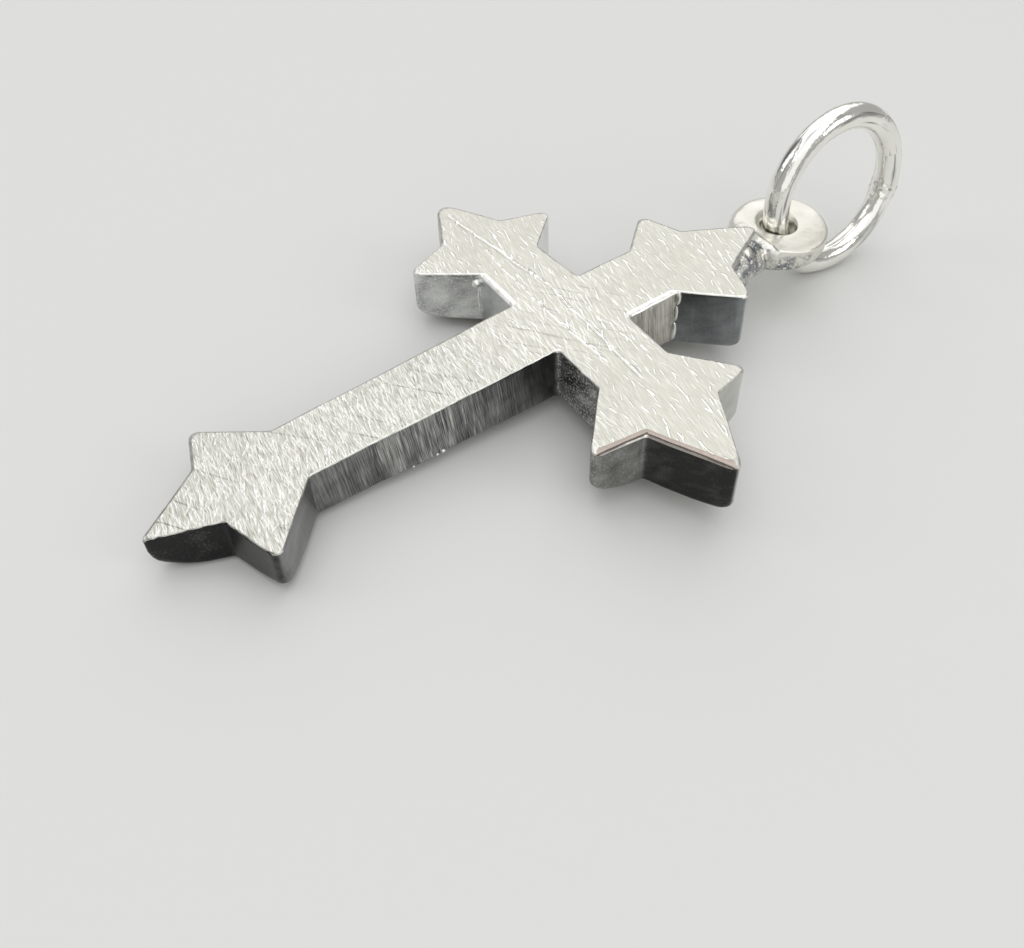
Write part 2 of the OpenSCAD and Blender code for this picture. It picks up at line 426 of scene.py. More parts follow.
# %% Rubbing the points round
WEAR_REACH = 2.6
RUBBED_MORE = {1: 0.16, 3: 0.16}


def rubbed(co):
    """Where the wear moves a place on the plate."""
    place = co.xy
    low, pull = BACK_ROUND, Vector((0, 0))
    thick = plate_t(co.y)
    for i, point in enumerate(CORNERS):
        distance = (place - point.place).length
        worn = point.worn + RUBBED_MORE.get(i, 0)
        if worn and distance < WEAR_REACH:
            fade = max(0, 1 - distance / WEAR_LEN) ** 2
            low += worn * thick * fade
            pull += bisector(i) * worn * WEAR_LEN * (1 - distance / WEAR_REACH)
    top = thick - FRONT_BEVEL
    if co.z < BACK_ROUND:
        height = co.z / BACK_ROUND * low
    elif co.z < top:
        height = low + (co.z - BACK_ROUND) * (top - low) / (top - BACK_ROUND)
    else:
        height = co.z
    share = min(max(height / low, 0), 1)
    place = place + pull * (1 - math.sqrt(1 - (1 - share) ** 2))
    return Vector((*place, height))


for vert in plate.verts:
    vert.co = rubbed(vert.co)
print("lowest point:", round(min(v.co.z for v in plate.verts), 3), "mm")

# %% [markdown]
# ## Filed by hand
# A hand-held file leaves walls that wander by a few hundredths of a millimetre, and edges with
# small nicks, deepest at the end of the foot. `mathutils.noise` gives both. It is read in three
# dimensions, so the walls, the bevels and the front move together and no seam opens. Its vector
# form starts at a random place, and `seed_set` holds that still from run to run.

# %% Wander and nicks
WANDER_SEED = 5
WANDER = 0.022
WANDER_SIZE = 1.4
WANDER_UP = 0.4
NICK_DEPTH = 0.07
NICK_SIZE = 0.2
NICK_FROM = 0.1
# How deeply the file nicked an edge. The others have no nicks
NICKED = {27: 2.2, 28: 1.8, 30: 0.6, 31: 0.7, 7: 0.4}

noise.seed_set(WANDER_SEED)
plate.normal_update()
nicked = {}
for face in plate.faces:
    if face.material_index == BEVEL:
        edge = nearest_edge(face.calc_center_median().xy)[0]
        for vert in face.verts:
            nicked[vert] = NICKED.get(edge, 0)
for vert in plate.verts:
    soft = noise.noise_vector(vert.co / WANDER_SIZE) * WANDER
    vert.co += Vector((soft.x, soft.y, soft.z * WANDER_UP))
    if vert in nicked:
        nick = max(0, noise.noise(vert.co / NICK_SIZE) - NICK_FROM)
        vert.co -= vert.normal * nick * NICK_DEPTH * nicked[vert]
print("points with nicks:", sum(depth > 0 for depth in nicked.values()))

# %% [markdown]
# ## Burrs and painted highlights
# A thin burr hangs under the shaft and the end of the left star is rubbed. Some corners get a
# painted highlight, and the left star's wall two patches of painted shade. Each is a soft swelling
# of one wall, given by its place and its size. We also keep how much lighter or darker it paints
# each point, as painted highlight or painted shade, for the finish.

# %% Swellings of the walls
# Each one: its wall, where on it, its half width and half height, how far it stands out, and how
# much lighter it is painted: a painted highlight, and painted shade where below 0
Lump = namedtuple("Lump", "edge along height wide tall out light")
LUMPS = [
    # The left star: its rubbed left end with a painted highlight, and two patches of painted shade
    Lump(21, 0.3, 0.65, 0.32, 0.5, 0.03, 0.5),
    Lump(21, 0.5, 1.6, 0.6, 0.6, 0, -0.5),
    Lump(21, 1.5, 1.5, 0.6, 0.6, 0, -0.35),
    # The shaft: the thin burr at its lower edge, with a painted highlight
    Lump(30, 4, 0.12, 0.9, 0.12, 0.05, 1),
    Lump(30, 2.9, 0.12, 0.5, 0.1, 0.04, 0.8),
    # The top star: a painted highlight at its right corner
    Lump(8, 2.62, 1.1, 0.15, 1.7, 0, 0.9),
    # The right star: painted highlights at two corners
    Lump(1, 1.88, 1.3, 0.08, 1, 0, 0.4),
    Lump(2, 3.32, 0.5, 0.13, 0.5, 0.03, 1),
    Lump(2, 3.36, 1.4, 0.09, 0.8, 0, 0.7),
]

painted_light_and_shade = {}
for lump in LUMPS:
    outward = -inward(lump.edge)
    place = corner(lump.edge) + edge_way(lump.edge) * lump.along
    for vert in plate.verts:
        away = vert.co.xy - place
        sideways = away.dot(edge_way(lump.edge)) / lump.wide
        upwards = (vert.co.z - lump.height) / lump.tall
        swell = max(0, 1 - sideways**2 - upwards**2)
        if swell and abs(away.dot(outward)) < BACK_ROUND:
            vert.co += Vector((*outward, 0)) * lump.out * swell
            # The lump's light is painted: a painted highlight, and painted shade where it is below 0
            painted_light_and_shade[vert] = painted_light_and_shade.get(vert, 0) + swell * lump.light
print("points lighter or darker:", len(painted_light_and_shade))

# %% [markdown]
# ## Beads
# Small beads of metal sit in two necks and on the burr. They are too round for a swelling, so each
# is a stretched icosphere, sunk halfway into the wall.

# %% Beads of metal
BALL_FINENESS = 3
# Each bead: its wall, where on it, its half width and its half height
Bead = namedtuple("Bead", "edge along height wide tall")
BEADS = [
    # In the neck of the left star
    Bead(21, 2.62, 1.82, 0.19, 0.19),
    Bead(21, 2.7, 0.95, 0.07, 0.62),
    # In the neck of the top star
    Bead(8, 0.08, 2.12, 0.11, 0.3),
    Bead(8, 0.05, 1.4, 0.08, 0.34),
    Bead(8, 0.03, 0.58, 0.11, 0.4),
    # On the burr
    Bead(30, 4.78, 0.16, 0.09, 0.07),
    Bead(30, 4.55, 0.12, 0.07, 0.05),
    Bead(30, 3.6, 0.1, 0.05, 0.05),
]


def add_ball(bm, place, half_sizes):
    """A ball, stretched to three half sizes. Gives its points."""
    stretched = Matrix.Translation(place) @ Matrix.Diagonal((*half_sizes, 1))
    return bmesh.ops.create_icosphere(
        bm, subdivisions=BALL_FINENESS, radius=1, matrix=stretched
    )["verts"]


for bead in BEADS:
    place = corner(bead.edge) + edge_way(bead.edge) * bead.along
    ball = add_ball(plate, (*place, bead.height), (bead.wide, bead.wide, bead.tall))
    for face in {face for vert in ball for face in vert.link_faces}:
        face.material_index = BEVEL
print("beads:", len(BEADS))

# %% [markdown]
# ## How each wall was left
# Some walls keep their file marks, others were polished, and one is pitted. How light each wall
# is painted is a painted reflection, cool or warm in tint, and the bevel above it gets a painted
# highlight. Five numbers say so for each wall, in a table that is easy to read and to change.

# %% Looks of the walls
# Wall by wall: how strongly filed and how light its painted reflection is, at its start, middle and
# end or all along, then how pitted, how warm the tint is, and how bright the painted highlight on
# the bevel above it
WallLook = namedtuple("WallLook", "filed tone pitted warm bevel")
PLAIN_WALL = WallLook(0.6, 0.6, 0, 0.5, 0.4)
WALL_LOOKS = {
    30: WallLook((0.35, 1, 0.1), (0.34, 0.52, 0.14), 0, 0.5, 0.65),
    31: WallLook(0.1, (0.6, 0.66, 0.66), 1, 0.5, 0.6),
    0: WallLook((0.2, 0.1, 0.1), (0.4, 0.35, 0.3), 0.3, 0.5, 0.6),
    1: WallLook(0.05, (0.5, 0.42, 0.48), 0.15, 0.6, 0.9),
    2: WallLook(0.03, (0.06, 0, 0), 0.05, 0.7, 0.3),
    3: WallLook(0.1, (0.95, 0.7, 0.6), 0, 0.6, 0.55),
    4: WallLook(0.1, (0.7, 0.76, 0.82), 0, 0.6, 0.55),
    7: WallLook((0.8, 0.7, 0.6), (0.82, 0.78, 0.74), 0, 0.9, 1),
    8: WallLook(0.06, (0.42, 0.38, 0.45), 0.05, 0.1, 0.8),
    9: WallLook(0.05, (1, 0.7, 0.6), 0, 0.4, 0.7),
    10: WallLook(0.05, 0.7, 0.3, 0.3, 0.5),
    16: WallLook(0.2, 0.95, 0, 0.5, 0.8),
    20: WallLook(0.1, (0.8, 0.8, 0.9), 0.2, 0.4, 0.8),
    21: WallLook(0.1, (0.85, 0.95, 1), 0.5, 0.4, 0.7),
    22: WallLook(0.2, (0.78, 0.84, 0.9), 0.1, 0.2, 1),
    27: WallLook(0.1, 0, 0.1, 0.6, 0.3),
    28: WallLook(0.1, (0, 0, 0.14), 0.1, 0.6, 0.3),
    29: WallLook(0.1, (0.42, 0.44, 0.4), 0, 0.35, 0.4),
}
CORNER_BLEND = 0.05


def part_way(values, share):
    """The value a share of the way along, between a start, a middle and an end."""
    if not isinstance(values, tuple):
        return values
    if share < 0.5:
        return values[0] + (values[1] - values[0]) * share * 2
    return values[1] + (values[2] - values[1]) * (share * 2 - 1)


def look_of_edge(edge, along):
    """The five numbers of a wall's look, some way along it."""
    look = WALL_LOOKS.get(edge, PLAIN_WALL)
    share = min(max(along / (EDGE_START[edge + 1] - EDGE_START[edge]), 0), 1)
    filed, tone = part_way(look.filed, share), part_way(look.tone, share)
    return Vector((filed, tone, look.pitted, look.warm, look.bevel))


def look_at(place):
    """The look at a place. Round a corner, the looks of its two walls blend."""
    (near, edge, along), (far, other, other_along) = edges_near(place)[:2]
    blend = math.exp((near - far) / CORNER_BLEND) / 2
    return look_of_edge(edge, along) * (1 - blend) + look_of_edge(other, other_along) * blend


print("walls with a look of their own:", len(WALL_LOOKS))

# %% [markdown]
# ## Notes on the mesh
# The front is scratched in plain x and y, but a wall is filed along its own length. A UV map in
# millimetres serves both: the front keeps x and y, and a wall gets the distance round the outline
# and the height. Vertex attributes carry the five numbers of the look. Two more find the wide
# bevel: `wide` is 1 along its edges, and `outer` rises to 1 at the wall.

# %% UV map and attributes
NOTE_NAMES = ("filed", "tone", "pitted", "warm", "bevel", "wide", "outer")
PAINTED_REFLECTION = NOTE_NAMES.index("tone")
filing = plate.loops.layers.uv.new("filing")
notes = {name: plate.verts.layers.float.new(name) for name in NOTE_NAMES}
noted = set()
for face in plate.faces:
    if face.material_index not in (WALL, BEVEL):
        for loop in face.loops:
            loop[filing].uv = loop.vert.co.xy
        continue
    edge = nearest_edge(face.calc_center_median().xy)[0]
    for loop in face.loops:
        along = (loop.vert.co.xy - corner(edge)).dot(edge_way(edge))
        loop[filing].uv = (EDGE_START[edge] + along, loop.vert.co.z)
    noted.update(face.verts)
for vert in noted:
    edge = nearest_edge(vert.co.xy)[0]
    inside = (vert.co.xy - corner(edge)).dot(inward(edge))
    look = look_at(vert.co.xy)
    look[PAINTED_REFLECTION] += painted_light_and_shade.get(vert, 0)
    for name, value in zip(NOTE_NAMES, (*look, edge in WIDE_EDGES, 1 - inside / WIDE_BEVEL)):
        vert[notes[name]] = value
print("notes on", len(noted), "places of the walls and bevels")

# %% [markdown]
# ## From bmesh to object
# Every piece ends the same way: its faces are smooth, its mesh is moved to its real place in
# metres, and its object stays at the origin. Then it is hung on the root body, and the solid of the
# frame that it stands for is hidden. On the plate, the edges where a bevel meets the front or a
# wall stay crisp.

# %% Finishing a piece
QUAD = 4


def finished_piece(bm, name, placing, node):
    """Makes a bmesh an object that stands for a solid of the frame."""
    bmesh.ops.triangulate(bm, faces=[f for f in bm.faces if len(f.verts) > QUAD])
    bm.transform(placing)
    for face in bm.faces:
        face.smooth = True
    piece = object_from(bm, name)
    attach(piece, "root")
    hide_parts(node)
    triangles = sum(len(polygon.vertices) - 2 for polygon in piece.data.polygons)
    print(name, "has", triangles, "triangles")
    return piece


for edge in plate.edges:
    kinds = {face.material_index for face in edge.link_faces}
    edge.smooth = not (BEVEL in kinds and len(kinds) > 1)
plate_piece = finished_piece(plate, "star_cross_plate", LAID, "cross")

# %% [markdown]
# ## The eyelet
# The eyelet is a short piece of thick wire bent round, laid on its side and soldered to the top
# star. We draw the wire's round section and spin it once round. Its upper half was pressed, so
# the section is pushed out there until it is nearly square.

# %% A ring of thick wire
EYE_WIRE = 1.3
EYE_R = 1.3
EYE_AT = Vector((0, 10.35, 1.3))
EYE_STEPS = (24, 72)
# 2 is a round section, and a higher number a squarer one
EYE_SQUARE = 3


def spun_ring(mean_r, wire, wire_steps, ring_steps):
    """A round ring of round wire, flat on the xy plane round the origin."""
    bm = bmesh.new()
    upright = Matrix.Translation((mean_r, 0, 0)) @ Matrix.Rotation(math.radians(90), 4, "X")
    bmesh.ops.create_circle(bm, segments=wire_steps, radius=wire / 2, matrix=upright)
    bmesh.ops.spin(
        bm,
        geom=[*bm.verts, *bm.edges],
        cent=(0, 0, 0),
        axis=(0, 0, 1),
        angle=math.radians(360),
        steps=ring_steps,
        use_merge=True,
    )
    bmesh.ops.remove_doubles(bm, verts=bm.verts, dist=TINY)
    bmesh.ops.recalc_face_normals(bm, faces=bm.faces)
    return bm


eyelet = spun_ring(EYE_R, EYE_WIRE, *EYE_STEPS)
for vert in eyelet.verts:
    outward = Vector((vert.co.x, vert.co.y, 0)).normalized()
    sideways = vert.co.dot(outward) - EYE_R
    if vert.co.z > 0:
        corners = (abs(sideways) ** EYE_SQUARE + vert.co.z**EYE_SQUARE) ** (1 / EYE_SQUARE)
        swell = EYE_WIRE / 2 / corners
        vert.co = outward * (EYE_R + sideways * swell) + Vector((0, 0, vert.co.z * swell))
print("eyelet:", len(eyelet.faces), "faces")

# %% [markdown]
# ## Solder
# The solder ran into a lump at the eyelet's foot. We set a few balls where it is and let a voxel
# remesh melt them and the wire into one skin, much as heat does.

# %% Wire and solder, melted together
EYE_VOXEL = 0.06
Blob = namedtuple("Blob", "place size")
SOLDER = [
    Blob((0, -1.45, 0), (0.95, 0.7, 0.62)),
    Blob((0.15, -1.9, -0.05), (0.98, 0.7, 0.66)),
    Blob((-0.1, -2.4, 0), (1.0, 0.8, 0.7)),
    Blob((0.55, -1.8, -0.1), (0.5, 0.55, 0.7)),
    Blob((0.62, -2.25, 0.1), (0.5, 0.5, 0.85)),
    Blob((0.82, -2.7, 0.15), (0.46, 0.5, 0.9)),
    Blob((1.0, -3.05, 0.05), (0.42, 0.45, 0.9)),
    Blob((1.12, -3.35, -0.15), (0.34, 0.4, 0.8)),
]

for blob in SOLDER:
    add_ball(eyelet, blob.place, blob.size)
eyelet = after_modifier(eyelet, "REMESH", mode="VOXEL", voxel_size=EYE_VOXEL)
print("melted:", len(eyelet.faces), "faces")

# %% [markdown]
# ## Pressed flats
# Pliers squeezed the eyelet's outside flat. We press what stands out past a plane back to it, but
# for a small share, so that a flat stays a little full. The solder is spared, except from below.

# %% Flats pressed by the pliers
# Each flat: which way it looks, and how far from the eyelet's middle it lies
FLATS = [
    # The sloping front
    ((0.5, -0.32, 0.8), 1.42),
    # Round the outside
    ((0.82, -0.57, -0.05), 1.78),
    ((0.74, 0.67, -0.1), 1.86),
    ((-0.2, 0.98, 0.05), 1.93),
    ((-0.98, 0.2, 0), 1.93),
    # The underside and the top
    ((0, 0, -1), 0.58),
    ((0.1, 0.05, 0.99), 0.55),
]
FLAT_LEFT = 0.12
SOLDER_FROM = -1.3
FROM_BELOW = -0.9
SMOOTHINGS = 2


def pressed_flat(bm, looks, distance):
    """Presses what stands out past a plane back to it."""
    looks = Vector(looks).normalized()
    for vert in bm.verts:
        past = vert.co.dot(looks) - distance
        if past > 0 and (vert.co.y > SOLDER_FROM or looks.z < FROM_BELOW):
            vert.co -= looks * past * (1 - FLAT_LEFT)


for _ in range(SMOOTHINGS):
    bmesh.ops.smooth_vert(
        eyelet, verts=eyelet.verts, factor=0.5, use_axis_x=True, use_axis_y=True, use_axis_z=True
    )
for looks, distance in FLATS:
    pressed_flat(eyelet, looks, distance)
print("flats:", len(FLATS))

# %% [markdown]
# ## Crumbs and splashes
# Solder freezes with a crumbly skin, and some of it splashed along the eyelet's lower front. A
# vertex attribute tells the finish where. A Voronoi noise raises the crumbs, and a soft noise lets
# the whole eyelet waver.

# %% Solder noted on the eyelet
SPLASH_SIDE = Vector((0.82, -0.57, 0))
CRUMB_SIZE = 0.3
CRUMB_OUT = 0.09
EYE_WAVE = 0.025
EYE_WAVE_SIZE = 0.8


def ramp(value, start, length):
    """0 up to a start, rising evenly to 1 over a length."""
    return max(0, min(1, (value - start) / length))


eyelet.normal_update()
soldered = eyelet.verts.layers.float.new("soldered")
for vert in eyelet.verts:
    near_solder = ramp(-vert.co.y, 1.2, 0.5)
    splashed = ramp(vert.co.dot(SPLASH_SIDE), 1.45, 0.2) * ramp(-vert.co.z, -0.3, 0.2)
    vert[soldered] = max(near_solder, splashed)
    crumb = noise.voronoi(vert.co / CRUMB_SIZE)[0][0] * CRUMB_OUT * near_solder
    vert.co += vert.normal * (crumb + noise.noise(vert.co / EYE_WAVE_SIZE) * EYE_WAVE)
eyelet_piece = finished_piece(
    eyelet, "soldered_eyelet", LAID @ Matrix.Translation(EYE_AT), "cross"
)

# %% [markdown]
# ## The jump ring
# A jump ring is one turn of wire, closed and soldered, so we spin a circle again. The real one is
# not perfect: the wire waves a little, and a small rough seam shows where its ends meet.

# %% The ring and its seam
RING_R = 3
RING_WIRE = 1
RING_STEPS = (32, 256)
SEAM_AT = 147
SEAM_LEN = 7
SEAM_LUMP = 0.05
SEAM_ROUGH_SIZE = 0.15
WIRE_WAVE = 0.018
WIRE_WAVE_SIZE = 1.1

ring = spun_ring(RING_R, RING_WIRE, *RING_STEPS)
ring.normal_update()
for vert in ring.verts:
    angle = math.degrees(math.atan2(vert.co.y, vert.co.x)) % 360
    seam = math.exp(-(((angle - SEAM_AT) / SEAM_LEN) ** 2))
    rough = noise.noise(vert.co / SEAM_ROUGH_SIZE) * 1.6
    wave = noise.noise(vert.co / WIRE_WAVE_SIZE)
    vert.co += vert.normal * (SEAM_LUMP * seam * (0.5 + rough) + WIRE_WAVE * wave)
print("jump ring:", len(ring.faces), "faces")

# %% [markdown]
# ## The ring in its place
# A UV map in millimetres runs along the wire and round it, for streaks that follow the wire. The
# ring's place and its axis come from the `chain_ring` mount, and the eyelet gives the direction
# from which the angle of the seam is counted.

# %% Map and place of the ring
wire_map = ring.loops.layers.uv.new("wire")
for face in ring.faces:
    middle = face.calc_center_median()
    turned = math.atan2(middle.y, middle.x)
    for loop in face.loops:
        co = loop.vert.co
        along = turned - middle.xy.angle_signed(co.xy, 0)
        out = co.xy.length - RING_R
        loop[wire_map].uv = (along * RING_R, math.atan2(co.z, out) * RING_WIRE / 2)

ring_centre = Vector(MOUNTS["chain_ring"]["pos_m"])
ring_axis = Vector(MOUNTS["chain_ring"]["axis"]).normalized()
to_eyelet = LAID @ EYE_AT - ring_centre
to_eyelet = (to_eyelet - ring_axis * to_eyelet.dot(ring_axis)).normalized()
ring_turn = Matrix((to_eyelet, ring_axis.cross(to_eyelet), ring_axis)).transposed()
RING_PLACE = Matrix.Translation(ring_centre) @ ring_turn.to_4x4() @ Matrix.Scale(MM, 4)
ring_piece = finished_piece(ring, "polished_jump_ring", RING_PLACE, "jump_ring")

# %% [markdown]
# ## A small language for finishes
# A finish is a formula: so much lighter here, so much rougher there. In Blender that means many
# small Math nodes. The class below lets us write the formula as plain Python and adds the nodes
# for us. `Finish.node` adds any other node.

# %% Sockets that can be added and multiplied


class Socket:
    """One output of a node, which Python's operators can work with."""

    def __init__(self, finish, out):
        self.finish = finish
        self.out = out

    def maths(self, operation, *values):
        """The result of one Math node."""
        return self.finish.node("ShaderNodeMath", {"operation": operation}, dict(enumerate(values)))

    def __add__(self, other):
        return self.maths("ADD", self, other)

    def __sub__(self, other):
        return self.maths("SUBTRACT", self, other)

    def __rsub__(self, other):
        return self.maths("SUBTRACT", other, self)

    def __mul__(self, other):
        return self.maths("MULTIPLY", self, other)

    def __truediv__(self, other):
        return self.maths("DIVIDE", self, other)

    def __abs__(self):
        return self.maths("ABSOLUTE", self)

    __radd__ = __add__
    __rmul__ = __mul__

    def clamped(self):
        """The value, held between 0 and 1."""
        settings = {"operation": "MULTIPLY", "use_clamp": True}
        return self.finish.node("ShaderNodeMath", settings, {0: self, 1: 1})


class Finish:
    """A material with its Principled shader, built up node by node."""

    def __init__(self, name, **constants):
        self.material = bpy.data.materials.new(name)
        self.material.use_nodes = True
        self.tree = self.material.node_tree
        self.shader = self.tree.nodes["Principled BSDF"]
        for socket, value in constants.items():
            self.shader.inputs[socket.replace("_", " ")].default_value = value

    def node(self, kind, settings=None, inputs=None, output=0):
        """Adds a node: first its settings, then its inputs as values or links."""
        made = self.tree.nodes.new(kind)
        for name, value in (settings or {}).items():
            setattr(made, name, value)
        for key, value in (inputs or {}).items():
            self.link(value, made.inputs[key])
        return Socket(self, made.outputs[output])

    def link(self, value, socket):
        """Links a varying value to a socket, or sets a plain one on it."""
        if isinstance(value, Socket):
            self.tree.links.new(value.out, socket)
        else:
            socket.default_value = value

    def feed(self, **values):
        """Links what varies to the shader."""
        for socket, value in values.items():
            self.link(value, self.shader.inputs[socket.replace("_", " ")])
        print(self.material.name, "has", len(self.tree.nodes), "nodes")


# %% [markdown]
# ## Strokes
# File marks and scratches are the whole character of this piece, so they get their own helper. The
# front is laid out in cells, long in the direction of the stroke and narrow across it. A Voronoi
# texture gives each cell a place and random numbers, and each cell holds one straight stroke with
# its own slant, place and strength. A stretched noise gives the soft grain between them.

# %% Helpers for places


def uv_place(finish, name="filing"):
    """Coordinates from a UV map of the piece."""
    return finish.node("ShaderNodeUVMap", {"uv_map": name})


def note(finish, name):
    """What an attribute of the piece says."""
    return finish.node("ShaderNodeAttribute", {"attribute_name": name}, output="Fac")


def turned_cells(finish, place, turn, cell=(1, 1), start=(0, 0)):
    """Coordinates that run along a stroke's direction, in cells of that length and width."""
    turning = (0, 0, math.radians(turn))
    inputs = {"Vector": place, "Location": (*start, 0), "Rotation": turning, "Scale": (*cell, 1)}
    return finish.node("ShaderNodeMapping", {"vector_type": "TEXTURE"}, inputs)


def halves(finish, vector):
    """The first two numbers of a vector."""
    return [finish.node("ShaderNodeSeparateXYZ", None, {0: vector}, axis) for axis in "XY"]


# %% Helpers for file marks


def strokes(finish, place, turn, cell, width, slant=0.5, shift=0):
    """Straight strokes, one in each cell, which fade at their edges and ends to 0."""
    spot = turned_cells(finish, place, turn, cell)
    spot = finish.node("ShaderNodeVectorMath", {"operation": "ADD"}, {0: spot, 1: (shift, shift, 0)})
    cells = {"voronoi_dimensions": "2D"}
    knobs = {"Vector": spot, "Scale": 1}
    centre = finish.node("ShaderNodeTexVoronoi", cells, knobs, "Position")
    chance = finish.node("ShaderNodeTexVoronoi", cells, knobs, "Color")
    away = finish.node("ShaderNodeVectorMath", {"operation": "SUBTRACT"}, {0: spot, 1: centre})
    along, across = halves(finish, away)
    lean, strength = halves(finish, chance)
    off = abs(across - along * (lean - 0.5) * slant)
    line = (1.3 - off / (width / cell[1])).clamped()
    fade = (1.8 - abs(along) * 4).clamped()
    return line * fade * strength


def grain(finish, place, turn, cell, detail=2):
    """Soft noise, drawn out along a direction, from 0 to 1."""
    spot = turned_cells(finish, place, turn, cell)
    settings = {"noise_dimensions": "2D"}
    return finish.node("ShaderNodeTexNoise", settings, {"Vector": spot, "Scale": 1, "Detail": detail})


def scratch(finish, place, waver, start, end, width):
    """One long scratch between two places on the front, which wavers a little."""
    run = Vector(end) - Vector(start)
    turn = math.degrees(math.atan2(run.y, run.x))
    along, across = halves(finish, turned_cells(finish, place, turn, start=start))
    line = (1 - abs(across + waver) / width).clamped()
    middle = run.length / 2
    return line * ((middle - abs(along - middle)) * 3).clamped()


# %% Helpers for colour and relief


def mixed(finish, share, low, high):
    """A colour between two others."""
    settings = {"data_type": "RGBA"}
    inputs = {"Factor": share, 6: low, 7: high}
    return finish.node("ShaderNodeMix", settings, inputs, 2)


def bumped(finish, height, distance):
    """A normal that follows a height."""
    return finish.node("ShaderNodeBump", None, {"Height": height, "Distance": distance})


# %% [markdown]
# ## Satin front
# The front was rubbed on emery and never polished. It is a bright, warm grey-white with countless
# fine strokes across the shaft, some darker ones at a slant, and two long bright scratches along
# the cross arm. The long scratches are given in straight stretches.

# %% Colours and long scratches
SILVER = (0.70, 0.69, 0.625, 1)
SILVER_SHADE = (0.30, 0.295, 0.265, 1)
SILVER_LIGHT = (0.98, 0.975, 0.94, 1)

# Each stretch: where it starts, where it ends and its half width
LIGHT_SCRATCHES = [
    ((-7.76, -0.19), (-1.6, 0.43), 0.08),
    ((-1.7, 0.42), (4.2, 0.02), 0.08),
    ((-5, -0.25), (0.25, -0.53), 0.07),
    ((0.1, -0.53), (2.9, -0.39), 0.07),
]
DARK_SCRATCHES_AND_SHADOWS = [
    ((-1.03, -2.15), (1.4, -0.62), 0.06),
    ((1.3, -0.66), (2.75, 0.41), 0.06),
    ((-0.64, -2.92), (1.28, -1.47), 0.05),
    ((-1.24, -6.15), (1.06, -4.31), 0.07),
    # The last two lines are painted shadow, beside the two long light scratches
    ((-7.76, -0.3), (-1.6, 0.32), 0.03),
    ((-1.7, 0.31), (4.2, -0.09), 0.03),
]
print("stretches of long scratches:", len(LIGHT_SCRATCHES) + len(DARK_SCRATCHES_AND_SHADOWS))

# %% [markdown]
# The emery was coarser on the shaft, and the foot is worn most. So before the strokes come three
# masks, which say where: `coarse` below the arms, `worn_foot` at the very end, and `crossing`.

# %% Grain and strokes of the front
satin = Finish("satin_silver_front", Metallic=1)
place = uv_place(satin)
to_the_right, up_the_cross = halves(satin, place)
coarse = ((-1 - up_the_cross) / 4).clamped()
worn_foot = ((-9 - up_the_cross) / 4).clamped()
crossing = (1.4 - abs(up_the_cross) / 2.4).clamped() * (1.4 - abs(to_the_right) / 2.6).clamped()
fine = grain(satin, place, -9, (0.5, 0.03), 3)
crossed = grain(satin, place, 12, (0.5, 0.035))
cloudy = grain(satin, place, 20, (2.2, 1.4))
dense = strokes(satin, place, -9, (0.7, 0.11), 0.022, 2.2)
dense += strokes(satin, place, -18, (0.9, 0.12), 0.022, 2, 7.3)
dense += strokes(satin, place, 2, (1.3, 0.2), 0.025, 2, 3.1)
dense += strokes(satin, place, -45, (0.6, 0.3), 0.03, 1.5, 5.2) * worn_foot
dashes = strokes(satin, place, -9, (0.5, 0.3), 0.05, 1.4, 6.1)
dashes += strokes(satin, place, -13, (1.2, 0.42), 0.045, 1.2, 8.6)
dark = strokes(satin, place, 36, (3.6, 1.3), 0.03, 0.6, 1.7) * (0.2 + coarse * 1.1)
dark += strokes(satin, place, 33, (1.5, 0.36), 0.022, 0.6, 4.6) * crossing
dark += strokes(satin, place, -14, (0.8, 0.16), 0.022, 2, 9.9) * coarse
print("before the long scratches:", len(satin.tree.nodes), "nodes")

# %% [markdown]
# `lift` is how much lighter or darker a place is than plain silver. Only its finest part, `relief`,
# also goes into the bump, because a Bump node works out all that feeds it three times over, and a
# material that grows too large for the renderer comes out black.

# %% The satin front
waver = (grain(satin, place, 0, (2.5, 2.5)) - 0.5) * 0.25
patchy = (grain(satin, place, 5, (0.5, 0.1)) * 1.6 - 0.1).clamped()
light_scratch = patchy * sum(scratch(satin, place, waver, *ends) for ends in LIGHT_SCRATCHES)
# The dark scratches include the painted shadow beside the long light scratches
dark_scratch_and_shadow = patchy * sum(scratch(satin, place, waver, *ends) for ends in DARK_SCRATCHES_AND_SHADOWS)
relief = (fine - 0.48) * (0.55 + coarse * 1.25) + (dashes * 2.2 - 0.65).clamped()
relief = relief + light_scratch * 2.2 - dark_scratch_and_shadow * 0.6
lift = relief + (crossed - 0.5) * 0.8 * coarse + (cloudy - 0.5) * 0.2 + coarse * 0.1 - 0.14
lift = lift + dense * (0.25 + coarse * 1.1 + crossing * 0.5) - dark * 0.75
# Darker than plain silver first, then lighter
colour = mixed(satin, (lift * -1).clamped(), SILVER, SILVER_SHADE)
colour = mixed(satin, lift.clamped(), colour, SILVER_LIGHT)
satin.feed(
    Base_Color=colour,
    Roughness=0.44 - (lift * 0.16).clamped(),
    Normal=bumped(satin, relief, 0.000014),
)

# %% [markdown]
# ## Bevels
# The long bevels are painted brighter than the front, a painted highlight set wall by wall, with
# small nicks. The wide bevel at the end of the right star is brown, with a dark line in it and a
# painted highlight along its lower edge.

# %% The bevels and their painted highlights
BROWN = (0.40, 0.345, 0.31, 1)
LINE = (0.07, 0.065, 0.06, 1)

bevels = Finish("filed_bevel_painted_highlight", Metallic=1)
place = uv_place(bevels)
painted_bevel_highlight, wide, outer = (note(bevels, name) for name in ("bevel", "wide", "outer"))
nicks = grain(bevels, place, 0, (0.3, 0.16))
waver = (grain(bevels, place, 0, (1.2, 1.2)) - 0.5) * 0.2
dark_line = (1.2 - abs(outer + waver - 0.74) * 7).clamped() * wide
